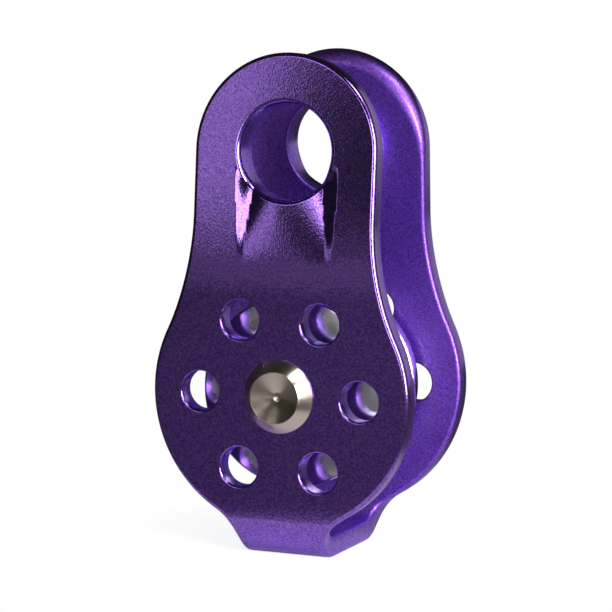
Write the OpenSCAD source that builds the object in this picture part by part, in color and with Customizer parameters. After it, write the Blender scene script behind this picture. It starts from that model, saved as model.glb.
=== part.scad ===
// Climbing pulley with fixed side plates.
// One strip of aluminium sheet is folded into a U. Its two cheeks carry a riveted steel
// axle, on which a grooved sheave turns on two shielded ball bearings. A carabiner goes
// through the eye at the top of both cheeks, and the rope runs over the sheave between them.
// Millimetres. +Z is up, Y is along the axle, and the front cheek is on the -Y side.
// The origin is at the middle of the underside of the fold.

/* [Folded body] */
// Width of the round lower end of a cheek
cheek_w = 49.2; // [46:0.1:56]
// Width of the upper lobe
lobe_w = 34.8; // [31:0.1:40]
// Radius of the hollow flank between the lobe and the round lower end
flank_r = 49.5; // [35:0.5:80]
// Height of the axle above the underside of the fold
axle_rise = 29.6; // [29:0.1:36]
// Height of the carabiner eye above the axle
eye_rise = 43.3; // [40:0.1:50]
// Thickness of the sheet
sheet_t = 3.8; // [3:0.1:4.5]
// Clear space between the cheeks at the axle
inside_gap = 22.8; // [22:0.1:28]
// Inside radius of the two bends at the fold
bend_r = 3.6; // [2:0.1:6]
// Width of the strip that joins the cheeks under the sheave
strip_w = 16.4; // [12:0.1:22]
// Radius of the hollow corner between a cheek and the strip
strip_corner_r = 8.2; // [5:0.1:12]
// Angle by which the upper arms lean towards each other
lean_angle = 4; // [2:0.25:5]
// Height above the axle at which the arms start to lean
lean_rise = 18; // [16:0.5:22]
// Inside radius of the soft bend that starts the lean
lean_r = 60; // [30:1:90]
// Number of flats that the soft bend is made of
lean_facets = 4; // [2:1:8]

/* [Pressed flutes below the eye] */
// Distance of a flute's line from the middle of the arm, at the flute's deepest place
flute_x = 6.3; // [5:0.1:7.5]
// Angle by which a flute spreads outwards on its way down
flute_spread = 6; // [0:0.5:10]
// Depth of a flute at its deepest place, just below the eye
flute_depth = 0.8; // [0.3:0.05:1.2]
// Radius of a flute's round section where it is deepest
flute_r = 4; // [3:0.1:6]
// Length from the deepest place down to the flute's foot
flute_len = 11.5; // [8:0.5:13]
// Length over which a flute runs out at its upper end
flute_end = 3; // [2:0.1:4]

/* [Holes in the cheeks] */
// Clear diameter of the carabiner eye
eye_d = 17.2; // [15:0.1:20]
// Radius of the rounded lip at both faces of the eye
eye_lip = 1; // [0.5:0.1:1.4]
// Diameter of the six lightening holes around the axle
lightening_d = 7.2; // [5:0.1:8]
// Radius of the circle that the lightening holes lie on
lightening_ring_r = 15.3; // [14.5:0.1:16]
// Number of lightening holes
lightening_count = 6; // [3:1:6]
// Chamfer at the edges of the lightening holes
lightening_chamfer = 0.4; // [0.2:0.05:0.6]

/* [Axle] */
// Diameter of the axle
axle_d = 8; // [6:0.1:9]
// Diameter of the spun heads where they meet the cheeks
head_d = 13.2; // [11.5:0.1:15]
// Height of the spun heads
head_h = 2.2; // [1.2:0.1:3]
// Diameter of the rim at the top of a head
rim_d = 9; // [7:0.1:10]
// Width of the narrow flat on the rim
rim_w = 0.15; // [0.1:0.05:0.4]
// Depth of the dish inside the rim
dish_depth = 1.3; // [0.6:0.1:1.6]
// Diameter of the centre mark at the bottom of the dish
mark_d = 3; // [1.5:0.1:4]
// Depth of the centre mark
mark_depth = 0.6; // [0.3:0.1:1]
// Height of the straight foot of a head, under its bevel
head_foot = 0.3; // [0.1:0.1:0.6]

/* [Sheave] */
// Diameter over the flanges
sheave_d = 34.5; // [32:0.1:36]
// Width over the flanges
sheave_w = 18.8; // [17:0.1:20]
// Radius of the rope groove, for rope up to twice this thick
groove_r = 6.8; // [5:0.1:7.2]
// Diameter at the bottom of the groove
tread_d = 22.6; // [21.5:0.1:25]
// Rounding of the flange edges
flange_round = 0.5; // [0.2:0.05:0.8]
// Diameter of the shoulder between the two bearings
shoulder_d = 14; // [12.5:0.1:14.5]

/* [Ball bearings] */
// Outer diameter of a bearing
bearing_d = 16; // [15.5:0.1:17]
// Width of a bearing
bearing_w = 5; // [4.5:0.1:6]
// Diameter of a ball
ball_d = 2.4; // [2:0.1:2.5]
// Number of balls in a bearing
ball_count = 9; // [7:1:10]
// Radial wall of a bearing ring at its shoulders
ring_wall = 1.1; // [0.9:0.05:1.2]
// Thickness of the bearing shields
shield_t = 0.35; // [0.25:0.05:0.5]
// Depth and width of the step that holds a shield in the outer ring
shield_rebate_w = 0.4; // [0.3:0.05:0.5]
// Radial thickness of the ball cage
cage_wall = 0.7; // [0.5:0.05:0.9]
// Width of the ball cage
cage_w = 3.1; // [2.9:0.05:3.4]

/* [Clearances] */
// Radial gap at a pressed or riveted seat
seat_gap = 0.01; // [0.005:0.005:0.03]
// Gap between a ball and the tracks and pockets around it
ball_gap = 0.05; // [0.03:0.01:0.08]
// Gap between a shield and the inner ring
shield_gap = 0.15; // [0.1:0.01:0.25]
// Gap between a shield and the face of its bearing
shield_inset = 0.04; // [0.02:0.01:0.08]

/* [Hidden] */
$fn = 96;
eps = 0.01;
over_w = inside_gap + 2 * sheet_t;
bend_outer_r = bend_r + sheet_t;
cheek_r = cheek_w / 2;
lobe_r = lobe_w / 2;
eye_z = axle_rise + eye_rise;
lean_z = axle_rise + lean_rise;
// Centre of the flank arc, which is tangent to the lobe's straight side and to the round end
flank_x = lobe_r + flank_r;
flank_z = sqrt(pow(cheek_r + flank_r, 2) - flank_x * flank_x);
flank_end_x = flank_x * cheek_r / (cheek_r + flank_r);
flank_end_z = flank_z * cheek_r / (cheek_r + flank_r);
// Centre of the hollow corner over the strip, tangent to the strip and to the round end
corner_x = strip_w / 2 + strip_corner_r;
corner_z = sqrt(pow(cheek_r + strip_corner_r, 2) - corner_x * corner_x);
corner_end_x = corner_x * cheek_r / (cheek_r + strip_corner_r);
corner_end_z = corner_z * cheek_r / (cheek_r + strip_corner_r);
// Centre of the soft bend at the foot of the front arm, and the eye's height up the arm
lean_y = -inside_gap / 2 + lean_r;
eye_up_arm = (eye_rise - lean_rise - (lean_r + sheet_t / 2) * sin(lean_angle)) / cos(lean_angle);
arm_len = eye_rise - lean_rise + lobe_r + 2;
// Angle through which a lip of the eye turns from the face before it meets the straight hole
lip_turn = 70;
// Stations along the axle
column_w = sheave_w;
collar_w = (inside_gap - column_w) / 2;
spacer_w = column_w - 2 * bearing_w;
pitch_d = (axle_d + bearing_d) / 2;
inner_ring_d = axle_d + 2 * ring_wall;
outer_ring_bore = bearing_d - 2 * ring_wall;
shield_d = outer_ring_bore + 2 * shield_rebate_w;
collar_d = inner_ring_d;
groove_z = tread_d / 2 + groove_r;
SIDES = ["front", "rear"];

// Puts a child that is drawn for the front of the pulley on the named side
module on_side(side) {
    if (side == "front") children();
    else mirror([0, 1, 0]) children();
}

// Turns a shape drawn about Z so that it is about the axle, with +Z drawn towards the front
module about_axle() {
    translate([0, 0, axle_rise]) rotate([90, 0, 0]) children();
}

// Outline of a cheek seen along the axle, with the strip below it, drawn in X and Z
module cheek_outline() {
    translate([0, axle_rise]) circle(r = cheek_r);
    translate([0, eye_z]) circle(r = lobe_r);
    translate([-lobe_r, axle_rise + flank_z]) square([2 * lobe_r, eye_rise - flank_z]);
    difference() {
        translate([-flank_end_x, axle_rise + flank_end_z])
            square([2 * flank_end_x, flank_z - flank_end_z]);
        for (s = [-1, 1]) translate([s * flank_x, axle_rise + flank_z]) circle(r = flank_r);
    }
    difference() {
        translate([-corner_end_x, axle_rise - corner_z])
            square([2 * corner_end_x, corner_z - corner_end_z]);
        for (s = [-1, 1]) translate([s * corner_x, axle_rise - corner_z])
            circle(r = strip_corner_r);
    }
    translate([-strip_w / 2, -1]) square([strip_w, 1 + axle_rise - corner_z]);
}

// Cuts a side section of the sheet, drawn in Y and Z, to the outline of the cheeks
module cut_to_outline() {
    intersection() {
        translate([-cheek_r - 1, 0, 0]) rotate([90, 0, 90])
            linear_extrude(height = cheek_w + 2) children();
        translate([0, over_w / 2 + 1, 0]) rotate([90, 0, 0])
            linear_extrude(height = over_w + 2) cheek_outline();
    }
}

// Section of the front half of the fold: half of the strip and the quarter turn beside it
module fold_section() {
    translate([-over_w / 2 + bend_outer_r, 0]) square([over_w / 2 - bend_outer_r, sheet_t]);
    translate([-over_w / 2 + bend_outer_r, bend_outer_r]) intersection() {
        difference() {
            circle(r = bend_outer_r);
            circle(r = bend_r);
        }
        translate([-bend_outer_r, -bend_outer_r]) square(bend_outer_r);
    }
}

// A point on the soft bend of the front arm, at a radius and an angle from its start
function lean_point(r, angle) = [lean_y - r * cos(angle), lean_z + r * sin(angle)];

// A point on the straight front arm, at a radius from the bend's centre and a height up the arm
function arm_point(r, up) =
    lean_point(r, lean_angle) + up * [sin(lean_angle), cos(lean_angle)];

// Section of the front cheek: upright at the axle, then a soft bend, then the leaning arm
module cheek_section() {
    angles = [for (i = [0:lean_facets]) i * lean_angle / lean_facets];
    polygon(concat(
        [[-over_w / 2, bend_outer_r]],
        [for (a = angles) lean_point(lean_r + sheet_t, a)],
        [arm_point(lean_r + sheet_t, arm_len), arm_point(lean_r, arm_len)],
        [for (i = [lean_facets:-1:0]) lean_point(lean_r, angles[i])],
        [[-inside_gap / 2, bend_outer_r]]
    ));
}

// The sheet, folded and leant but with no holes
module folded_sheet() {
    cut_to_outline() {
        fold_section();
        mirror([1, 0]) fold_section();
    }
    for (side = SIDES) on_side(side) cut_to_outline() cheek_section();
}

// Moves a child from the middle of the eye, drawn with Z along the hole, to the front arm
module at_eye() {
    translate([0, lean_y, lean_z]) rotate([-lean_angle, 0, 0])
        translate([0, -lean_r - sheet_t / 2, eye_up_arm]) rotate([90, 0, 0]) children();
}

// What is cut away for the rounded lips of the eye, square to the leaning arm
module eye_lip_cut() {
    lip_x = eye_d / 2 + eye_lip * sin(lip_turn);
    rotate_extrude() for (s = [-1, 1]) scale([1, s]) difference() {
        translate([eye_d / 2 - eye_lip, sheet_t / 2 - eye_lip])
            square([lip_x - eye_d / 2 + eye_lip, 2 * eye_lip]);
        translate([lip_x, sheet_t / 2 - eye_lip]) circle(r = eye_lip - eps);
    }
}

// What is pressed out of the face for one flute, as a round bar that tapers to both its ends
module flute_cut() {
    face_r = flute_r - flute_depth;
    deepest_y = -eye_d / 2 - eye_lip + flute_end / 2;
    translate([flute_x, deepest_y, sheet_t / 2 + face_r]) rotate([90, 0, flute_spread])
        rotate_extrude() polygon([
            [0, -flute_end],
            [face_r - eps, -flute_end],
            [flute_r, 0],
            [face_r - eps, flute_len],
            [0, flute_len]
        ]);
}

// What is cut away for one lightening hole through the sheet, chamfered at both faces
module lightening_cut() {
    hole_r = lightening_d / 2;
    rotate_extrude() polygon([
        [0, -sheet_t],
        [hole_r + lightening_chamfer + eps, -sheet_t],
        [hole_r + lightening_chamfer + eps, -sheet_t / 2 - eps],
        [hole_r, -sheet_t / 2 + lightening_chamfer],
        [hole_r, sheet_t / 2 - lightening_chamfer],
        [hole_r + lightening_chamfer + eps, sheet_t / 2 + eps],
        [hole_r + lightening_chamfer + eps, sheet_t],
        [0, sheet_t]
    ]);
}

// The folded sheet: two cheeks and the strip between them, in one piece
module side_plates() {
    color("#43207e") difference() {
        folded_sheet();
        translate([0, 0, eye_z]) rotate([90, 0, 0])
            cylinder(d = eye_d, h = over_w + 2, center = true);
        for (side = SIDES) on_side(side) {
            at_eye() {
                eye_lip_cut();
                flute_cut();
                mirror([1, 0, 0]) flute_cut();
            }
            about_axle() translate([0, 0, (inside_gap + sheet_t) / 2]) {
                cylinder(d = axle_d + 2 * seat_gap, h = 2 * sheet_t, center = true);
                for (i = [0:lightening_count - 1]) rotate(i * 360 / lightening_count)
                    translate([lightening_ring_r, 0, 0]) lightening_cut();
            }
        }
    }
}

// Outline of one spun head, from the axle outwards, up the bevel and down the dish
head_points = [
    [axle_d / 2, over_w / 2],
    [head_d / 2, over_w / 2],
    [head_d / 2, over_w / 2 + head_foot],
    [rim_d / 2 + rim_w, over_w / 2 + head_h],
    [rim_d / 2, over_w / 2 + head_h],
    [mark_d / 2, over_w / 2 + head_h - dish_depth],
    [mark_d / 8, over_w / 2 + head_h - dish_depth - mark_depth],
    [0, over_w / 2 + head_h - dish_depth - mark_depth]
];

// The axle: a steel pin whose ends are spun into dished, bevelled heads on both cheeks
module axle() {
    last = len(head_points) - 1;
    color("#c9c4bd") about_axle() rotate_extrude() polygon(concat(
        head_points,
        [for (i = [last:-1:0]) [head_points[i].x, -head_points[i].y]]
    ));
}

// The sheave: a turned aluminium wheel with a round rope groove and a seat for each bearing
module sheave() {
    flange_x = sheave_d / 2;
    color("#d3d5da") about_axle() rotate_extrude() difference() {
        translate([shoulder_d / 2, -sheave_w / 2])
            square([flange_x - shoulder_d / 2, sheave_w]);
        translate([groove_z, 0]) circle(r = groove_r);
        translate([groove_z, -groove_r]) square([flange_x, 2 * groove_r]);
        for (s = [-1, 1]) scale([1, s]) {
            translate([0, sheave_w / 2 - bearing_w])
                square([bearing_d / 2 + seat_gap, 2 * bearing_w]);
            difference() {
                translate([flange_x - flange_round, sheave_w / 2 - flange_round])
                    square(2 * flange_round);
                translate([flange_x - flange_round, sheave_w / 2 - flange_round])
                    circle(r = flange_round - eps / 2);
            }
        }
    }
}

// The sleeve between the two inner rings, which keeps them apart when the axle is riveted
module bearing_spacer() {
    color("#a9aaac") about_axle() difference() {
        cylinder(d = inner_ring_d, h = spacer_w, center = true);
        cylinder(d = axle_d + 2 * seat_gap, h = spacer_w + 1, center = true);
    }
}

// A collar between an inner ring and its cheek, which keeps the sheave clear of the cheek
module collar(side) {
    color("#b4b5b7") on_side(side) about_axle()
        translate([0, 0, column_w / 2]) difference() {
            cylinder(d = collar_d, h = collar_w);
            translate([0, 0, -1]) cylinder(d = axle_d + 2 * seat_gap, h = collar_w + 2);
        }
}

// Puts a child that is drawn about the middle of a bearing in the bearing on the named side
module at_bearing(side) {
    on_side(side) about_axle() translate([0, 0, (column_w - bearing_w) / 2]) children();
}

// The groove that the balls run in, as a ring to cut from a bearing ring
module ball_track() {
    rotate_extrude() translate([pitch_d / 2, 0]) circle(r = ball_d / 2 + ball_gap);
}

// Inner ring of a bearing, pressed on the axle
module inner_ring(side) {
    color("#8f9194") at_bearing(side) difference() {
        cylinder(d = inner_ring_d, h = bearing_w, center = true);
        cylinder(d = axle_d + 2 * seat_gap, h = bearing_w + 1, center = true);
        ball_track();
    }
}

// Outer ring of a bearing, pressed in the sheave, with a step at each face for a shield
module outer_ring(side) {
    color("#9a9c9f") at_bearing(side) difference() {
        cylinder(d = bearing_d, h = bearing_w, center = true);
        cylinder(d = outer_ring_bore, h = bearing_w + 1, center = true);
        for (s = [-1, 1]) translate([0, 0, s * bearing_w / 2])
            cylinder(d = shield_d, h = 2 * shield_rebate_w, center = true);
        ball_track();
    }
}

// One ball, with the first one at the top of its bearing
module ball(side, i) {
    color("#dfe0e2") at_bearing(side) rotate(90 + i * 360 / ball_count)
        translate([pitch_d / 2, 0, 0]) sphere(d = ball_d);
}

// Ball cage: a thin ring with one round pocket for each ball
module ball_cage(side) {
    color("#b08d57") at_bearing(side) difference() {
        cylinder(d = pitch_d + cage_wall, h = cage_w, center = true);
        cylinder(d = pitch_d - cage_wall, h = cage_w + 1, center = true);
        for (i = [1:ball_count]) rotate(90 + i * 360 / ball_count) rotate([0, 90, 0])
            cylinder(d = ball_d + 2 * ball_gap, h = pitch_d);
    }
}

// A pressed shield that closes one face of a bearing; face is 1 outside and -1 inside
module shield(side, face) {
    color("#808387") at_bearing(side)
        translate([0, 0, face * (bearing_w / 2 - shield_inset - shield_t / 2)]) difference() {
            cylinder(d = shield_d - 2 * seat_gap, h = shield_t, center = true);
            cylinder(d = inner_ring_d + 2 * shield_gap, h = shield_t + 1, center = true);
        }
}

side_plates();
axle();
sheave();
bearing_spacer();
for (s = SIDES) {
    collar(s);
    inner_ring(s);
    outer_ring(s);
    ball_cage(s);
    shield(s, 1);
    shield(s, -1);
    for (i = [1:ball_count])
        ball(s, i);
}
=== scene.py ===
import math

import bpy
import numpy as np
from mathutils import Matrix, Vector
from mathutils.geometry import delaunay_2d_cdt


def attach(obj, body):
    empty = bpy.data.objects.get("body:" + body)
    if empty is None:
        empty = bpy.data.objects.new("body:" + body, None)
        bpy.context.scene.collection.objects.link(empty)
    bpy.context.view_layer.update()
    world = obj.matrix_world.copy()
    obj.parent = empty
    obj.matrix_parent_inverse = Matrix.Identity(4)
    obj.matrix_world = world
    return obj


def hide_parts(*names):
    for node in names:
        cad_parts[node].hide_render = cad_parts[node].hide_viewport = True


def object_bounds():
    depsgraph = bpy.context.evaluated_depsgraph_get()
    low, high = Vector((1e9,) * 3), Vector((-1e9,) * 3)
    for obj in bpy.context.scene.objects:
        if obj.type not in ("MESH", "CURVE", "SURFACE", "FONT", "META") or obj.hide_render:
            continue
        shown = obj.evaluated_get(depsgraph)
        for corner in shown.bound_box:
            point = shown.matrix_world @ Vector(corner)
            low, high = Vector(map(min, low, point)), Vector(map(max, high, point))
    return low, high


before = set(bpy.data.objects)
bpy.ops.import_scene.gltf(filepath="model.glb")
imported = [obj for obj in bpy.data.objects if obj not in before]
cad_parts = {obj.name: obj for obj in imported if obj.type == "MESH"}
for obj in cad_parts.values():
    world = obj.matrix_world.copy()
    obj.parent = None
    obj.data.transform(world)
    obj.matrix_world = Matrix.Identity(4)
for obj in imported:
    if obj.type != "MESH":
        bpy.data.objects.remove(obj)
cad_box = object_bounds()

# The camera stands at the right of the front cheek and a little above it, far enough away that
# the pulley shows almost without perspective.
MM = 0.001
CAMERA_AZIMUTH = math.radians(22.74)
CAMERA_ELEVATION = math.radians(7.14)
CAMERA_ROLL = math.radians(0.573)
CAMERA_DISTANCE = 544 * MM
CAMERA_AIM = Vector((-1.293, 0, 44.01)) * MM
LENS = 176.47
backward = Vector((
    math.sin(CAMERA_AZIMUTH) * math.cos(CAMERA_ELEVATION),
    -math.cos(CAMERA_AZIMUTH) * math.cos(CAMERA_ELEVATION),
    math.sin(CAMERA_ELEVATION),
))
level_right = Vector((math.cos(CAMERA_AZIMUTH), math.sin(CAMERA_AZIMUTH), 0))
level_up = backward.cross(level_right)
right = math.cos(CAMERA_ROLL) * level_right + math.sin(CAMERA_ROLL) * level_up
up = backward.cross(right)
camera = bpy.data.objects.new("camera", bpy.data.cameras.new("camera"))
camera.data.lens = LENS
camera.data.clip_start = 10 * MM
camera.matrix_world = Matrix.LocRotScale(
    CAMERA_AIM + CAMERA_DISTANCE * backward,
    Matrix((right, up, backward)).transposed().to_quaternion(),
    None,
)
bpy.context.scene.collection.objects.link(camera)
bpy.context.scene.camera = camera
bpy.context.scene.view_settings.view_transform = "Standard"

# The studio: a pale floor that fades into a white background, in a room that is dark to all but
# the camera, so that the metal reflects dark round the lamps and the floor close to it. Lamps in
# front and at the left show in the front cheek, those at the right in its edges and the rear arm.
FLOOR_RADIUS = 1.2
FLOOR_GREY = 0.85
FLOOR_GLOW = 0.85
FLOOR_WHITE_FROM = 10 * MM
FLOOR_WHITE_TO = 52 * MM
FLOOR_DARK_FROM = 38 * MM
FLOOR_DARK_TO = 62 * MM
FLOOR_DARK = (0.19, 0.18, 0.2, 1)
ROOM_GREY = 0.02
LAMP_AIM_Z = 45 * MM


def link_nodes(tree, *pairs):
    for source, target in pairs:
        tree.links.new(source, target)


def new_material(name, color, **values):
    """A Principled material with the constants given, its node tree and its shader."""
    material = bpy.data.materials.new(name)
    material.use_nodes = True
    shader = material.node_tree.nodes["Principled BSDF"]
    shader.inputs["Base Color"].default_value = (*color, 1)
    for socket, value in values.items():
        shader.inputs[socket.replace("_", " ")].default_value = value
    return material, material.node_tree, shader


floor_material, tree, shader = new_material("floor", (FLOOR_GREY,) * 3, Roughness=0.9)
shader.inputs["Emission Color"].default_value = (1, 1, 1, 1)
place = tree.nodes.new("ShaderNodeTexCoord")
reach = tree.nodes.new("ShaderNodeVectorMath")
reach.operation = "LENGTH"
light_path = tree.nodes.new("ShaderNodeLightPath")
seen = tree.nodes.new("ShaderNodeMath")
seen.operation = "MULTIPLY"
seen.inputs[1].default_value = FLOOR_GLOW
dimmed = tree.nodes.new("ShaderNodeMapRange")
dimmed.interpolation_type = "SMOOTHSTEP"
dimmed.inputs["From Min"].default_value = FLOOR_DARK_FROM
dimmed.inputs["From Max"].default_value = FLOOR_DARK_TO
dark = tree.nodes.new("ShaderNodeMixShader")
dark_floor = tree.nodes.new("ShaderNodeBsdfDiffuse")
dark_floor.inputs["Color"].default_value = FLOOR_DARK
fade = tree.nodes.new("ShaderNodeMapRange")
fade.interpolation_type = "SMOOTHSTEP"
fade.inputs["From Min"].default_value = FLOOR_WHITE_FROM
fade.inputs["From Max"].default_value = FLOOR_WHITE_TO
white = tree.nodes.new("ShaderNodeEmission")
bright = tree.nodes.new("ShaderNodeMixShader")
ground = tree.nodes.new("ShaderNodeMixShader")
link_nodes(
    tree,
    (place.outputs["Object"], reach.inputs[0]),
    (light_path.outputs["Is Camera Ray"], seen.inputs[0]),
    (seen.outputs["Value"], shader.inputs["Emission Strength"]),
    (reach.outputs["Value"], dimmed.inputs["Value"]),
    (dimmed.outputs["Result"], dark.inputs["Fac"]),
    (shader.outputs["BSDF"], dark.inputs[1]),
    (dark_floor.outputs["BSDF"], dark.inputs[2]),
    (reach.outputs["Value"], fade.inputs["Value"]),
    (fade.outputs["Result"], bright.inputs["Fac"]),
    (shader.outputs["BSDF"], bright.inputs[1]),
    (white.outputs["Emission"], bright.inputs[2]),
    (light_path.outputs["Is Camera Ray"], ground.inputs["Fac"]),
    (dark.outputs["Shader"], ground.inputs[1]),
    (bright.outputs["Shader"], ground.inputs[2]),
    (ground.outputs["Shader"], tree.nodes["Material Output"].inputs["Surface"]),
)
floor = bpy.data.objects.new("floor", bpy.data.meshes.new("floor"))
turns = [2 * math.pi * i / 64 for i in range(64)]
floor.data.from_pydata(
    [(FLOOR_RADIUS * math.cos(a), FLOOR_RADIUS * math.sin(a), cad_box[0][2]) for a in turns],
    [],
    [list(range(64))],
)
floor.data.materials.append(floor_material)
bpy.context.scene.collection.objects.link(floor)

world = bpy.data.worlds.new("studio")
bpy.context.scene.world = world
world.use_nodes = True
tree = world.node_tree
room = tree.nodes["Background"]
light_path = tree.nodes.new("ShaderNodeLightPath")
strength = tree.nodes.new("ShaderNodeMapRange")
strength.inputs["To Min"].default_value = ROOM_GREY
strength.inputs["To Max"].default_value = 1
room.inputs["Color"].default_value = (1, 1, 1, 1)
link_nodes(
    tree,
    (light_path.outputs["Is Camera Ray"], strength.inputs["Value"]),
    (strength.outputs["Result"], room.inputs["Strength"]),
)


def soft_lamp(name, azimuths, elevations, distance, brightness):
    """A soft lamp that fills a range of azimuths, counted from the front to the right, and of
    elevations, as the pulley sees it."""
    width, height = (
        2 * distance * math.tan(math.radians(high - low) / 2)
        for low, high in (azimuths, elevations)
    )
    a, e = math.radians(sum(azimuths) / 2), math.radians(sum(elevations) / 2)
    toward = Vector((math.sin(a) * math.cos(e), -math.cos(a) * math.cos(e), math.sin(e)))
    lamp = bpy.data.objects.new(name, bpy.data.lights.new(name, "AREA"))
    lamp.data.shape = "RECTANGLE"
    lamp.data.size, lamp.data.size_y = width, height
    lamp.data.energy = brightness * math.pi * width * height
    lamp.matrix_world = Matrix.LocRotScale(
        Vector((0, 0, LAMP_AIM_Z)) + distance * toward, toward.to_track_quat("Z", "Y"), None
    )
    bpy.context.scene.collection.objects.link(lamp)


soft_lamp("right_lamp", (57, 85), (-8, 57), 0.62, 0.9)
soft_lamp("side_lamp", (43, 55), (-8, 26), 0.6, 22)
soft_lamp("upper_lamp", (40, 60), (44, 58), 0.6, 7)
soft_lamp("front_lamp", (-12, 9), (-16, 16), 0.6, 2.8)
soft_lamp("high_lamp", (-22.6, -12), (11, 27), 0.6, 1.2)
soft_lamp("left_lamp", (-28.5, -22.6), (4, 27), 0.33, 0.56)
soft_lamp("left_foot_lamp", (-28.5, -15), (-3.5, 3.5), 0.33, 0.14)
soft_lamp("back_lamp", (120, 175), (-3, 25), 0.7, 0.4)

# The body is one strip of aluminium sheet, punched with its holes, rounded at every edge, folded
# into a U and leant in at the arms, then blasted and anodised purple. It is made here as the flat
# strip is: every point has a place across (x), along (s) and through (t) the sheet.
SHEET = 3.8
AXLE_Z = 29.6
EYE_Z = 72.9
CHEEK_R = 24.59
LOBE_R = 17.39
FLANK_R = 49.5
STRIP_HALF = 8.2
CORNER_R = 8.2
HALF_OVER = 15.2
BEND_R = 3.6
LEAN = math.radians(4)
LEAN_Z = 44.6
LEAN_R = 146
EYE_R = 8.6
EYE_LIP = 0.9
EYE_LIP_DEEP = 1.1
COLLAR = 1.8
COLLAR_WALL = 0.75
COLLAR_LIP = 0.35
HOLE_R = 3.6
HOLE_RING_R = 15.3
HOLE_COUNT = 6
HOLE_EDGE = 0.4
BORE_R = 4.01
BORE_EDGE = 0.1
EDGE_R = 0.8
REAR_RIM_R = 2.8
REAR_RIM_FOOT = EYE_Z - 4
REAR_RIM_GROWS = 14

BEND_OUT = BEND_R + SHEET
FLAT_HALF = HALF_OVER - BEND_OUT
LEAN_OUT = LEAN_R + SHEET
S_UPRIGHT = FLAT_HALF + BEND_OUT * math.pi / 2
S_LEAN = S_UPRIGHT + LEAN_Z - BEND_OUT
S_ARM = S_LEAN + LEAN_OUT * LEAN
FLANK_X = LOBE_R + FLANK_R
FLANK_Z = AXLE_Z + math.sqrt((CHEEK_R + FLANK_R) ** 2 - FLANK_X**2)
FLANK_TURN = math.atan2(FLANK_Z - AXLE_Z, FLANK_X)
CORNER_X = STRIP_HALF + CORNER_R
CORNER_Z = AXLE_Z - math.sqrt((CHEEK_R + CORNER_R) ** 2 - CORNER_X**2)
CORNER_TURN = math.atan2(AXLE_Z - CORNER_Z, CORNER_X)


def along_sheet(z):
    """Distance along the outside of the sheet, from the middle of the fold, at a height."""
    if z < BEND_OUT:
        return FLAT_HALF + BEND_OUT * math.acos(1 - z / BEND_OUT)
    if z < LEAN_Z:
        return S_UPRIGHT + z - BEND_OUT
    turned = (z - LEAN_Z) / (LEAN_OUT - EDGE_R)
    if turned < math.sin(LEAN):
        return S_LEAN + LEAN_OUT * math.asin(turned)
    straight = z - LEAN_Z - (LEAN_OUT - EDGE_R) * math.sin(LEAN)
    return S_ARM + straight / math.cos(LEAN)


def fold(points, normals):
    """Carries points (x, s, t) and their normals from the flat sheet to the folded body."""
    x, s, t = points.T
    side = np.where(s < 0, 1.0, -1.0)
    s = np.abs(s)
    bend = np.clip((s - FLAT_HALF) / BEND_OUT, 0, math.pi / 2)
    lean = np.clip((s - S_LEAN) / LEAN_OUT, 0, LEAN)
    y = np.minimum(s, FLAT_HALF) + BEND_OUT * np.sin(bend)
    z = BEND_OUT * (1 - np.cos(bend)) + np.clip(s - S_UPRIGHT, 0, S_LEAN - S_UPRIGHT)
    y = y - LEAN_OUT * (1 - np.cos(lean)) - np.maximum(s - S_ARM, 0) * math.sin(LEAN)
    z = z + LEAN_OUT * np.sin(lean) + np.maximum(s - S_ARM, 0) * math.cos(LEAN)
    turn = bend + lean
    along = np.stack([np.zeros_like(s), -np.cos(turn), -side * np.sin(turn)], 1)
    inward = np.stack([np.zeros_like(s), -side * np.sin(turn), np.cos(turn)], 1)
    place = np.stack([x, side * y, z], 1) + inward * t[:, None]
    across = np.array([[1.0, 0, 0]])
    turned = normals[:, :1] * across + normals[:, 1:2] * along + normals[:, 2:] * inward
    return place * MM, turned


RIM_STEP = 0.45
CORNER_STEP = 0.3
SIDE_POINTS = 26


def arc(cx, cz, r, start, end, step=RIM_STEP):
    """Points along an arc drawn in x and z."""
    count = max(2, round(abs(end - start) * r / step))
    return [
        (cx + r * math.cos(a), cz + r * math.sin(a)) for a in np.linspace(start, end, count)
    ]


quarter = [(STRIP_HALF, s) for s in np.arange(0, along_sheet(CORNER_Z), RIM_STEP)]
cheek_edge = arc(CORNER_X, CORNER_Z, CORNER_R, math.pi, math.pi - CORNER_TURN, CORNER_STEP)
cheek_edge += arc(0, AXLE_Z, CHEEK_R, -CORNER_TURN, FLANK_TURN)[1:]
cheek_edge += arc(FLANK_X, FLANK_Z, FLANK_R, math.pi + FLANK_TURN, math.pi)[1:]
cheek_edge += [(LOBE_R, z) for z in np.linspace(FLANK_Z, EYE_Z, SIDE_POINTS)][1:]
cheek_edge += arc(0, EYE_Z, LOBE_R, 0, math.pi / 2)[1:]
quarter += [(x, along_sheet(z)) for x, z in cheek_edge]
front_half = quarter + [(-x, s) for x, s in reversed(quarter[:-1])]
rear_half = [(x, -s) for x, s in reversed(front_half)]
outline = np.array(front_half[:-1] + rear_half[:-1])


def round_hole(x, z, r, count):
    """Points round a hole, clockwise, so that the sheet lies on their left as in the outline."""
    s = along_sheet(z)
    return [
        (x + r * math.cos(a), s - r * math.sin(a))
        for a in np.linspace(0, 2 * math.pi, count, endpoint=False)
    ]


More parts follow.
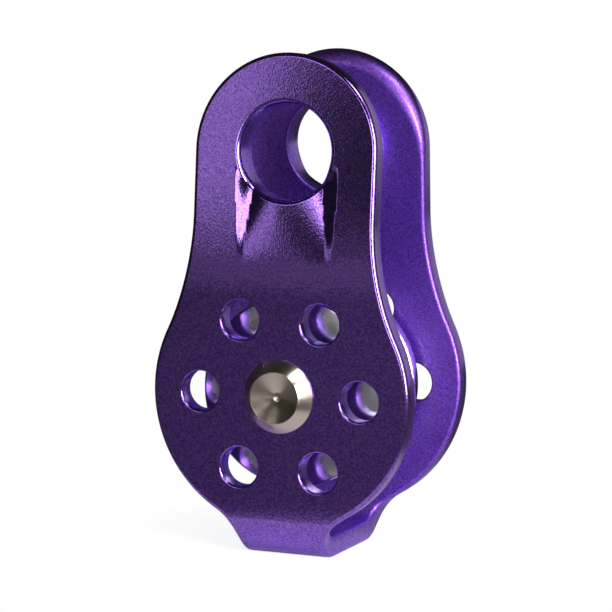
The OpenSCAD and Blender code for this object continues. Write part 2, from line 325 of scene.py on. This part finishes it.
# Every loop of the strip has its points, the rounding of its outer edge and that of its inner one.
# The outline comes first, then the eye of the front arm and that of the rear one.
EYE_POINTS = 160
BORE_POINTS = 64
HOLE_POINTS = 72
EYE_LOOPS = (1, 2)
holes = [
    (round_hole(0, EYE_Z, EYE_R, EYE_POINTS), EYE_LIP),
    (round_hole(0, AXLE_Z, BORE_R, BORE_POINTS), BORE_EDGE),
]
for i in range(HOLE_COUNT):
    a = 2 * math.pi * i / HOLE_COUNT
    center = (HOLE_RING_R * math.cos(a), AXLE_Z + HOLE_RING_R * math.sin(a))
    holes.append((round_hole(*center, HOLE_R, HOLE_POINTS), HOLE_EDGE))
loops = [(outline, EDGE_R, None)]
for points, edge in holes:
    front = np.array(points)
    loops.append((front, edge, edge))
    loops.append((front[::-1] * [1, -1], edge, edge))

# Two flutes are pressed in the face of each arm below the eye, with a crowned land between them.
# They are deepest beside the lip of the eye, spread on their way down and run out above the axle.
# The land's ridge lies a little to the left, and its edges at the flutes are drawn down sharper.
FLUTE_X = 6.4
FLUTE_SHIFT = 0.5
FLUTE_SPREAD = 0.12
SPREAD_LENGTH = 12
FLUTE_DEPTH = 1.15
FLUTE_TOP = AXLE_Z + 38.4
FLUTE_FOOT = AXLE_Z + 23.2
FLUTE_RISE = 1.6
FLUTE_END = 4
FLUTE_END_BELOW = 0.8
FLUTE_SIDE = 3.4
FOOT_SIDE = 0.25
FLAT_WALL = 0.7
LAND_RIDGE = -1.8
LAND_DEPTH = 0.4
LAND_CROWN = 1.9
LAND_EDGE = 0.2
EDGE_CROWN = 8


def smooth(v):
    v = np.clip(v, 0, 1)
    return v * v * (3 - 2 * v)


def flute_depth(x, s):
    """How far the outer face is pressed in at a place on the flat sheet."""
    z = np.abs(s) - S_ARM + LEAN_Z + (LEAN_OUT - EDGE_R) * math.sin(LEAN)
    rise = np.clip((z - FLUTE_FOOT) / (FLUTE_TOP - FLUTE_FOOT), 0, 1)
    ended = smooth((z - FLUTE_TOP + FLUTE_END_BELOW) / FLUTE_END)
    depth = FLUTE_DEPTH * rise**FLUTE_RISE * (1 - ended)
    line = FLUTE_X + FLUTE_SPREAD * np.clip(FLUTE_TOP - z, 0, SPREAD_LENGTH)
    side = FLUTE_SIDE * (FOOT_SIDE + (1 - FOOT_SIDE) * rise)
    x = x - FLUTE_SHIFT
    off_ridge = x - LAND_RIDGE
    land = np.clip(np.abs(off_ridge) / (line - np.sign(off_ridge) * LAND_RIDGE), 0, 1)
    land = (1 - LAND_EDGE) * land**LAND_CROWN + LAND_EDGE * land**EDGE_CROWN
    land = LAND_DEPTH + (1 - LAND_DEPTH) * land
    past_line = (np.abs(x) - line) / side
    wall = 1 - FLAT_WALL * np.clip(past_line, 0, 1) - (1 - FLAT_WALL) * smooth(past_line)
    return depth * np.where(past_line < 0, land, wall)


def flute_slope(x, s, step=0.02):
    """How steeply the pressed face falls across and along the flat sheet."""
    return (
        (flute_depth(x + step, s) - flute_depth(x - step, s)) / (2 * step),
        (flute_depth(x, s + step) - flute_depth(x, s - step)) / (2 * step),
    )


def loop_normals(points):
    """Unit vectors out of the sheet along a loop that keeps the sheet on its left."""
    run = np.roll(points, -1, 0) - np.roll(points, 1, 0)
    run /= np.linalg.norm(run, axis=1)[:, None]
    return np.stack([run[:, 1], -run[:, 0]], 1)


# Inside each arm the drawn eye stands up as a low thin collar, with a fillet at its foot. Its side
# is a list of distances from the hole, depths through the sheet and angles that it faces.
COLLAR_STEPS = 4
collar_side = []
for a in np.linspace(0, math.pi / 2, COLLAR_STEPS + 1):
    rim = (COLLAR_WALL + COLLAR_LIP * (math.sin(a) - 1), SHEET + COLLAR + COLLAR_LIP * (math.cos(a) - 1))
    collar_side.append((*rim, a))
for a in np.linspace(math.pi / 2, 0, COLLAR_STEPS + 1):
    fillet = (COLLAR_WALL + COLLAR_LIP * (1 - math.sin(a)), SHEET + COLLAR_LIP * (1 - math.cos(a)))
    collar_side.append((*fillet, a))

# Each loop becomes rings of points round its outer edge, through the sheet and round its inner
# edge. The lip of an eye is a quarter of an ellipse, and every other edge is a quarter circle.
EDGE_STEPS = 8
places, normals, quads, face_loops = [], [], [], []
base = 0
for points, outer_edge, inner_edge in loops:
    count = len(points)
    out = loop_normals(points)
    if inner_edge is None:
        crown = smooth((-points[:, 1] - along_sheet(REAR_RIM_FOOT)) / REAR_RIM_GROWS)
        inner_r = EDGE_R + (REAR_RIM_R - EDGE_R) * crown
    else:
        inner_r = np.full(count, inner_edge)
    collared = len(face_loops) in EYE_LOOPS
    if collared:
        inner_r[:] = COLLAR_LIP
    deep = EYE_LIP_DEEP / EYE_LIP if collared else 1
    rings = []
    for r, outer in ((np.full(count, outer_edge), True), (inner_r, False)):
        flat = deep if outer else 1
        turns = np.linspace(0, math.pi / 2, EDGE_STEPS + 1)
        for a in turns if outer else turns[::-1]:
            inset = r * (1 - math.sin(a))
            depth = r * flat * (1 - math.cos(a))
            t = depth if outer else SHEET + COLLAR * collared - depth
            place = np.column_stack([points - out * inset[:, None], t])
            size = math.hypot(flat * math.sin(a), math.cos(a))
            through = (-math.cos(a) if outer else math.cos(a)) / size
            rings.append(base + len(rings) * count)
            places.append(place)
            sideways = out * (flat * math.sin(a) / size)
            normals.append(np.column_stack([sideways, np.full(count, through)]))
    for radius, t, lean in collar_side if collared else ():
        rings.append(base + len(rings) * count)
        places.append(np.column_stack([points - out * radius, np.full(count, t)]))
        normals.append(np.column_stack([-out * math.sin(lean), np.full(count, math.cos(lean))]))
    for lower, upper in zip(rings, rings[1:]):
        for i in range(count):
            j = (i + 1) % count
            quads.append((lower + i, upper + i, upper + j, lower + j))
    face_loops.append((rings[0], rings[-1], count))
    base += count * len(rings)
places, normals = np.concatenate(places), np.concatenate(normals)


def inside_loops(points, rims):
    """Which points lie inside the first rim and outside the round ones after it."""
    keep = np.zeros(len(points), bool)
    for a, b in zip(rims[0], np.roll(rims[0], -1, 0)):
        crosses = (a[1] > points[:, 1]) != (b[1] > points[:, 1])
        with np.errstate(divide="ignore", invalid="ignore"):
            at = a[0] + (points[:, 1] - a[1]) * (b[0] - a[0]) / (b[1] - a[1])
        keep ^= crosses & (points[:, 0] < at)
    for rim in rims[1:]:
        center = rim.mean(0)
        radius = np.linalg.norm(rim[0] - center)
        keep &= np.linalg.norm(points - center, axis=1) > 0.9999 * radius
    return keep


def clear_of(points, loop, margin):
    """Which points are at least a margin from the points of a loop."""
    keep = np.ones(len(points), bool)
    for part in np.array_split(np.arange(len(points)), max(1, len(points) // 2000)):
        gap = np.linalg.norm(points[part][:, None] - loop[None], axis=2).min(1)
        keep[part] = gap > margin
    return keep


def grid(x_max, s_min, s_max, step):
    """Points evenly spread over a rectangle of the flat sheet."""
    xs = np.arange(-x_max, x_max + step / 2, step)
    ss = np.arange(s_min, s_max, step)
    gx, gs = np.meshgrid(xs, ss)
    return np.column_stack([gx.ravel(), gs.ravel()])


# Both faces are filled with triangles between their rims, through a grid of points that is finer
# where the flutes are.
COARSE = 0.9
FINE = 0.33
GRID_GAP = 0.3
RIM_GAP = 0.28
zone_x = FLUTE_X + 5
zone_foot = along_sheet(FLUTE_FOOT) - 1
zone_top = along_sheet(FLUTE_TOP) + 5
coarse = grid(CHEEK_R, COARSE / 2, along_sheet(EYE_Z + LOBE_R), COARSE)
in_zone = (
    (np.abs(coarse[:, 0]) < zone_x + GRID_GAP)
    & (coarse[:, 1] > zone_foot - GRID_GAP)
    & (coarse[:, 1] < zone_top + GRID_GAP)
)
front_points = np.concatenate([coarse[~in_zone], grid(zone_x, zone_foot, zone_top, FINE)])
inner_points = np.concatenate([front_points, front_points * [1, -1]])
faces = list(quads)
for t, facing in ((0.0, -1.0), (SHEET, 1.0)):
    rims, ids, edges = [], [], []
    for outer_start, inner_start, count in face_loops:
        start = outer_start if facing < 0 else inner_start
        edges.extend((len(ids) + i, len(ids) + (i + 1) % count) for i in range(count))
        ids.extend(range(start, start + count))
        rims.append(places[start:start + count, :2])
    rim_points = np.concatenate(rims)
    free = inner_points[inside_loops(inner_points, rims)]
    free = free[clear_of(free, rim_points, RIM_GAP)]
    ids.extend(range(base, base + len(free)))
    base += len(free)
    places = np.concatenate([places, np.column_stack([free, np.full(len(free), t)])])
    normals = np.concatenate([normals, np.tile([0.0, 0.0, facing], (len(free), 1))])
    flat = np.concatenate([rim_points, free])
    corners, _, triangles, sources, _, _ = delaunay_2d_cdt(
        [Vector(p) for p in flat], edges, [], 0, 1e-7
    )
    triangles = np.array(triangles)
    sources = np.array([found[0] for found in sources])
    middles = np.array([list(p) for p in corners])[triangles].mean(1)
    kept = sources[triangles[inside_loops(middles, rims)]]
    p, q, r = flat[kept[:, 0]], flat[kept[:, 1]], flat[kept[:, 2]]
    area = (q[:, 0] - p[:, 0]) * (r[:, 1] - p[:, 1]) - (q[:, 1] - p[:, 1]) * (r[:, 0] - p[:, 0])
    turned = (area > 0) == (facing > 0)
    kept[turned] = kept[turned][:, ::-1]
    faces.extend(tuple(ids[v] for v in triangle) for triangle in kept)

# The flutes are pressed in the flat strip, and fade out through the sheet to its inner face.
share = 1 - np.minimum(places[:, 2] / SHEET, 1)
slope_x, slope_s = flute_slope(places[:, 0], places[:, 1])
press = flute_depth(places[:, 0], places[:, 1])
facing = -normals[:, 2]
normals[:, 0] += slope_x * share * np.maximum(facing, 0)
normals[:, 1] += slope_s * share * np.maximum(facing, 0)
normals /= np.linalg.norm(normals, axis=1)[:, None]
places[:, 2] += press * share
body_points, body_normals = fold(places, normals)
mesh = bpy.data.meshes.new("folded_body")
mesh.from_pydata(body_points.tolist(), [], faces)
mesh.polygons.foreach_set("use_smooth", [True] * len(mesh.polygons))
mesh.normals_split_custom_set_from_vertices(body_normals.tolist())
folded_body = bpy.data.objects.new("folded_body", mesh)
bpy.context.scene.collection.objects.link(folded_body)

# The anodising has a fine grain in its tint and in its surface, and is rougher inside than out. Its
# inner faces, between the arms, are painted darker and bluer as painted shade.
inside_mark = mesh.attributes.new("inside", "FLOAT", "POINT")
inside_mark.data.foreach_set("value", 1 - share)
anodised, tree, shader = new_material(
    "purple_anodised",
    (0.35, 0.16, 0.8),
    Metallic=1.0,
    Coat_Weight=0.5,
    Coat_Roughness=0.1,
    Coat_IOR=1.5,
)
inside = tree.nodes.new("ShaderNodeAttribute")
inside.attribute_name = "inside"
gloss = tree.nodes.new("ShaderNodeMapRange")
gloss.inputs["To Min"].default_value = 0.1
gloss.inputs["To Max"].default_value = 0.5
coordinates = tree.nodes.new("ShaderNodeTexCoord")
grain = tree.nodes.new("ShaderNodeTexNoise")
grain.inputs["Scale"].default_value = 3000
grain.inputs["Detail"].default_value = 1.4
bump = tree.nodes.new("ShaderNodeBump")
bump.inputs["Strength"].default_value = 1
bump.inputs["Distance"].default_value = 0.012 * MM
tint = tree.nodes.new("ShaderNodeValToRGB")
tint.color_ramp.elements[0].position = 0.36
tint.color_ramp.elements[0].color = (0.25, 0.11, 0.59, 1)
tint.color_ramp.elements[1].position = 0.64
tint.color_ramp.elements[1].color = (0.48, 0.245, 1.0, 1)
# Painted shade: the tint is multiplied darker and bluer on the inner faces, where the arms face each
# other.
painted_inner_shade = tree.nodes.new("ShaderNodeMix")
painted_inner_shade.data_type = "RGBA"
painted_inner_shade.blend_type = "MULTIPLY"
painted_inner_shade.inputs["B"].default_value = (0.85, 0.68, 1, 1)
link_nodes(
    tree,
    (inside.outputs["Fac"], painted_inner_shade.inputs["Factor"]),
    (tint.outputs["Color"], painted_inner_shade.inputs["A"]),
    (inside.outputs["Fac"], gloss.inputs["Value"]),
    (gloss.outputs["Result"], shader.inputs["Roughness"]),
    (coordinates.outputs["Object"], grain.inputs["Vector"]),
    (grain.outputs["Fac"], bump.inputs["Height"]),
    (grain.outputs["Fac"], tint.inputs["Fac"]),
    (painted_inner_shade.outputs["Result"], shader.inputs["Base Color"]),
    (bump.outputs["Normal"], shader.inputs["Normal"]),
    (bump.outputs["Normal"], shader.inputs["Coat Normal"]),
)
mesh.materials.append(anodised)
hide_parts("side_plates")
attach(folded_body, "frame")

# The axle is a turned stainless pin. Each end is spun down over its cheek into a bevelled head
# with a conical dish and a round centre mark. It is a profile revolved about the axle's line.
revolve = bpy.data.node_groups.new("revolve", "GeometryNodeTree")
for socket, kind in (
    ("Profile", "Geometry"),
    ("Segments", "Int"),
    ("Path radius", "Float"),
    ("Axle height", "Float"),
    ("Finish", "Material"),
):
    revolve.interface.new_socket(socket, in_out="INPUT", socket_type="NodeSocket" + kind)
revolve.interface.new_socket("Piece", in_out="OUTPUT", socket_type="NodeSocketGeometry")
given = revolve.nodes.new("NodeGroupInput")
made = revolve.nodes.new("NodeGroupOutput")
section = revolve.nodes.new("GeometryNodeMeshToCurve")
path = revolve.nodes.new("GeometryNodeCurvePrimitiveCircle")
sweep = revolve.nodes.new("GeometryNodeCurveToMesh")
lift = revolve.nodes.new("ShaderNodeCombineXYZ")
lay = revolve.nodes.new("GeometryNodeTransform")
lay.inputs["Rotation"].default_value = (math.pi / 2, 0, 0)
realize = revolve.nodes.new("GeometryNodeRealizeInstances")
finish = revolve.nodes.new("GeometryNodeSetMaterial")
link_nodes(
    revolve,
    (given.outputs["Profile"], section.inputs["Mesh"]),
    (given.outputs["Segments"], path.inputs["Resolution"]),
    (given.outputs["Path radius"], path.inputs["Radius"]),
    (path.outputs["Curve"], sweep.inputs["Curve"]),
    (section.outputs["Curve"], sweep.inputs["Profile Curve"]),
    (sweep.outputs["Mesh"], lay.inputs["Geometry"]),
    (given.outputs["Axle height"], lift.inputs["Z"]),
    (lift.outputs["Vector"], lay.inputs["Translation"]),
    (lay.outputs["Geometry"], realize.inputs["Geometry"]),
    (realize.outputs["Geometry"], finish.inputs["Geometry"]),
    (given.outputs["Finish"], finish.inputs["Material"]),
    (finish.outputs["Geometry"], made.inputs["Piece"]),
)


SHARP_ANGLE = math.radians(32)


def as_plain_mesh(piece, tree, **values):
    """Runs a tree on a piece with the inputs given, and leaves its result as the plain mesh."""
    modifier = piece.modifiers.new(tree.name, "NODES")
    modifier.node_group = tree
    sockets = {item.name: item.identifier for item in tree.interface.items_tree}
    for name, value in values.items():
        modifier[sockets[name.replace("_", " ")]] = value
    evaluated = piece.evaluated_get(bpy.context.evaluated_depsgraph_get())
    mesh = bpy.data.meshes.new_from_object(evaluated)
    piece.modifiers.clear()
    piece.data = mesh
    mesh.polygons.foreach_set("use_smooth", [True] * len(mesh.polygons))
    mesh.set_sharp_from_angle(angle=SHARP_ANGLE)


def rounded(corners, steps=4):
    """A closed profile from corners given as (radius, place along the axle, rounding)."""
    points = []
    for i, (x, y, r) in enumerate(corners):
        if not r:
            points.append((x, y))
            continue
        corner = Vector((x, y))
        before = (Vector(corners[i - 1][:2]) - corner).normalized()
        after = (Vector(corners[(i + 1) % len(corners)][:2]) - corner).normalized()
        half_angle = before.angle(after) / 2
        center = corner + (before + after).normalized() * (r / math.sin(half_angle))
        start = corner + before * (r / math.tan(half_angle)) - center
        end = corner + after * (r / math.tan(half_angle)) - center
        for k in range(steps + 1):
            points.append(tuple(center + r * start.slerp(end, k / steps)))
    return points


def revolved(name, profile, segments, material):
    """A piece turned about the axle's line from a closed profile of radii and places along it."""
    path_r = 1.0
    mesh = bpy.data.meshes.new(name)
    places = [((x - path_r) * MM, y * MM, 0) for x, y in profile]
    mesh.from_pydata(places, [(i, (i + 1) % len(places)) for i in range(len(places))], [])
    piece = bpy.data.objects.new(name, mesh)
    bpy.context.scene.collection.objects.link(piece)
    as_plain_mesh(
        piece,
        revolve,
        Segments=segments,
        Path_radius=path_r * MM,
        Axle_height=AXLE_Z * MM,
        Finish=material,
    )
    return piece


def turned_metal(name, color, roughness, ring_scale, ring_depth):
    """A metal with the fine rings that a lathe leaves round the axle's line."""
    material, tree, shader = new_material(name, color, Metallic=1.0, Roughness=roughness)
    coordinates = tree.nodes.new("ShaderNodeTexCoord")
    about = tree.nodes.new("ShaderNodeVectorMath")
    about.operation = "SUBTRACT"
    about.inputs[1].default_value = (0, 0, AXLE_Z * MM)
    flat = tree.nodes.new("ShaderNodeVectorMath")
    flat.operation = "MULTIPLY"
    flat.inputs[1].default_value = (1, 0, 1)
    reach = tree.nodes.new("ShaderNodeVectorMath")
    reach.operation = "LENGTH"
    along = tree.nodes.new("ShaderNodeSeparateXYZ")
    ring_place = tree.nodes.new("ShaderNodeCombineXYZ")
    rings = tree.nodes.new("ShaderNodeTexNoise")
    rings.inputs["Scale"].default_value = ring_scale
    rings.inputs["Detail"].default_value = 3
    cloud = tree.nodes.new("ShaderNodeTexNoise")
    cloud.inputs["Scale"].default_value = 500
    spread = tree.nodes.new("ShaderNodeMapRange")
    spread.inputs["To Min"].default_value = 0.6 * roughness
    spread.inputs["To Max"].default_value = 1.5 * roughness
    bump = tree.nodes.new("ShaderNodeBump")
    bump.inputs["Strength"].default_value = 1
    bump.inputs["Distance"].default_value = ring_depth * MM
    link_nodes(
        tree,
        (coordinates.outputs["Object"], about.inputs[0]),
        (about.outputs["Vector"], flat.inputs[0]),
        (flat.outputs["Vector"], reach.inputs[0]),
        (about.outputs["Vector"], along.inputs["Vector"]),
        (reach.outputs["Value"], ring_place.inputs["X"]),
        (along.outputs["Y"], ring_place.inputs["Y"]),
        (ring_place.outputs["Vector"], rings.inputs["Vector"]),
        (rings.outputs["Fac"], bump.inputs["Height"]),
        (bump.outputs["Normal"], shader.inputs["Normal"]),
        (coordinates.outputs["Object"], cloud.inputs["Vector"]),
        (cloud.outputs["Fac"], spread.inputs["Value"]),
        (spread.outputs["Result"], shader.inputs["Roughness"]),
    )
    return material, tree, shader


PIN_R = 4.0
CHEEK_FACE = 15.2
HEAD_R = 6.6
HEAD_H = 2.2
HEAD_FOOT = 0.3
RIM_R = 4.5
DISH = 1.3
MARK_R = 1.6
MARK = 0.5
top = CHEEK_FACE + HEAD_H
half = [
    (PIN_R, CHEEK_FACE, 0),
    (HEAD_R, CHEEK_FACE, 0.08),
    (HEAD_R, CHEEK_FACE + HEAD_FOOT, 0.15),
    (RIM_R + 0.15, top, 0.1),
    (RIM_R, top, 0.1),
    (MARK_R, top - DISH, 0.25),
    (0.5 * MARK_R, top - DISH - 0.8 * MARK, 0.5),
    (0, top - DISH - MARK, 0),
]
profile = rounded([*half, *((x, -y, r) for x, y, r in reversed(half))])
spun_steel, *_ = turned_metal("spun_steel", (0.88, 0.77, 0.63), 0.2, 6000, 0.005)
pin = revolved("spun_axle", profile, 128, spun_steel)
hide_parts("axle")
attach(pin, "frame")

# The sheave is a turned and polished aluminium wheel with a round rope groove. Its flanges have
# rounded rims, and each face has a seat for a bearing.
SHEAVE_R = 17.25
SHEAVE_HALF = 9.4
TREAD_R = 11.3
GROOVE_R = 6.8
RIM_ROUND = 0.5
SHOULDER_R = 7.0
SEAT_R = 8.01
SEAT_DEEP = 5.0
groove_turn = math.acos((TREAD_R + GROOVE_R - SHEAVE_R + RIM_ROUND) / GROOVE_R)
groove = [
    (TREAD_R + GROOVE_R - GROOVE_R * math.cos(a), GROOVE_R * math.sin(a), 0)
    for a in np.linspace(groove_turn, 0, 20)
]
half = [
    (SHOULDER_R, SHEAVE_HALF - SEAT_DEEP, 0.1),
    (SEAT_R, SHEAVE_HALF - SEAT_DEEP, 0),
    (SEAT_R, SHEAVE_HALF, 0.2),
    (SHEAVE_R, SHEAVE_HALF, RIM_ROUND),
    (SHEAVE_R, groove[0][1] + 0.35, 0.3),
    *groove,
]
profile = rounded([*half, *((x, -y, r) for x, y, r in reversed(half[:-1]))])
polished_alloy, *_ = turned_metal("polished_alloy", (0.88, 0.89, 0.9), 0.14, 4000, 0.003)
wheel = revolved("grooved_sheave", profile, 160, polished_alloy)
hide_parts("sheave")
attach(wheel, "sheave")

# The bearing rings are hardened steel, ground in their tracks. The inner ones sit on the axle
# and the outer ones in the sheave. Their turned shape is already right in the solids.
ground_steel, *_ = turned_metal("ground_steel", (0.72, 0.73, 0.74), 0.2, 7000, 0.0015)
for name in ("front_inner_ring", "rear_inner_ring", "front_outer_ring", "rear_outer_ring"):
    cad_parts[name].data.materials.clear()
    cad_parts[name].data.materials.append(ground_steel)

# Nine polished steel balls run in each bearing, evenly round the axle, with the first at the top.
# They are one ball, made once and set out round its ring.
BALL_R = 1.2
BALL_COUNT = 9
PITCH_R = 6.0
BEARING_Y = 6.9
ball_ring = bpy.data.node_groups.new("ball_ring", "GeometryNodeTree")
for socket, kind in (
    ("Ball radius", "Float"),
    ("Balls", "Int"),
    ("Pitch radius", "Float"),
    ("Place", "Vector"),
    ("Finish", "Material"),
):
    ball_ring.interface.new_socket(socket, in_out="INPUT", socket_type="NodeSocket" + kind)
ball_ring.interface.new_socket("Piece", in_out="OUTPUT", socket_type="NodeSocketGeometry")
given = ball_ring.nodes.new("NodeGroupInput")
made = ball_ring.nodes.new("NodeGroupOutput")
one = ball_ring.nodes.new("GeometryNodeMeshUVSphere")
one.inputs["Segments"].default_value = 24
one.inputs["Rings"].default_value = 16
circle = ball_ring.nodes.new("GeometryNodeMeshCircle")
upright = ball_ring.nodes.new("GeometryNodeTransform")
upright.inputs["Rotation"].default_value = (math.pi / 2, math.pi / 2, 0)
set_out = ball_ring.nodes.new("GeometryNodeInstanceOnPoints")
realize = ball_ring.nodes.new("GeometryNodeRealizeInstances")
finish = ball_ring.nodes.new("GeometryNodeSetMaterial")
link_nodes(
    ball_ring,
    (given.outputs["Ball radius"], one.inputs["Radius"]),
    (given.outputs["Balls"], circle.inputs["Vertices"]),
    (given.outputs["Pitch radius"], circle.inputs["Radius"]),
    (circle.outputs["Mesh"], upright.inputs["Geometry"]),
    (given.outputs["Place"], upright.inputs["Translation"]),
    (upright.outputs["Geometry"], set_out.inputs["Points"]),
    (one.outputs["Mesh"], set_out.inputs["Instance"]),
    (set_out.outputs["Instances"], realize.inputs["Geometry"]),
    (realize.outputs["Geometry"], finish.inputs["Geometry"]),
    (given.outputs["Finish"], finish.inputs["Material"]),
    (finish.outputs["Geometry"], made.inputs["Piece"]),
)
ball_steel, tree, shader = new_material("ball_steel", (0.8, 0.81, 0.82), Metallic=1.0)
coordinates = tree.nodes.new("ShaderNodeTexCoord")
haze = tree.nodes.new("ShaderNodeTexNoise")
haze.inputs["Scale"].default_value = 2500
dullness = tree.nodes.new("ShaderNodeMapRange")
dullness.inputs["To Min"].default_value = 0.04
dullness.inputs["To Max"].default_value = 0.2
link_nodes(
    tree,
    (coordinates.outputs["Object"], haze.inputs["Vector"]),
    (haze.outputs["Fac"], dullness.inputs["Value"]),
    (dullness.outputs["Result"], shader.inputs["Roughness"]),
)
for side, y in (("front", -BEARING_Y), ("rear", BEARING_Y)):
    balls = bpy.data.objects.new(side + "_balls", bpy.data.meshes.new(side + "_balls"))
    bpy.context.scene.collection.objects.link(balls)
    as_plain_mesh(
        balls,
        ball_ring,
        Ball_radius=BALL_R * MM,
        Balls=BALL_COUNT,
        Pitch_radius=PITCH_R * MM,
        Place=(0, y * MM, AXLE_Z * MM),
        Finish=ball_steel,
    )
    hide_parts(*(f"{side}_ball_{i + 1}" for i in range(BALL_COUNT)))
    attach(balls, side + "_ball_set")

# Each ball cage is a ring machined from brass, with a round pocket for every ball. It runs between
# the two rings of its bearing, and keeps the balls evenly apart.
cage_brass, *_ = turned_metal("cage_brass", (0.72, 0.55, 0.3), 0.3, 5000, 0.003)
for name in ("front_ball_cage", "rear_ball_cage"):
    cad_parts[name].data.materials.clear()
    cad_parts[name].data.materials.append(cage_brass)

# A shield of pressed steel sheet, snapped in a step of the outer ring, closes each face of a
# bearing. It is left satin from the press.
shield_steel, *_ = turned_metal("shield_steel", (0.5, 0.51, 0.53), 0.35, 3000, 0.004)
for side in ("front", "rear"):
    for name in (side + "_outer_shield", side + "_inner_shield"):
        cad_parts[name].data.materials.clear()
        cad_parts[name].data.materials.append(shield_steel)

# A turned steel collar keeps each inner ring off its cheek, and a sleeve between the two inner
# rings carries the load of the riveted axle past the balls.
turned_steel, *_ = turned_metal("turned_steel", (0.62, 0.6, 0.57), 0.26, 4500, 0.003)
for name in ("front_collar", "rear_collar", "bearing_spacer"):
    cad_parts[name].data.materials.clear()
    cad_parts[name].data.materials.append(turned_steel)
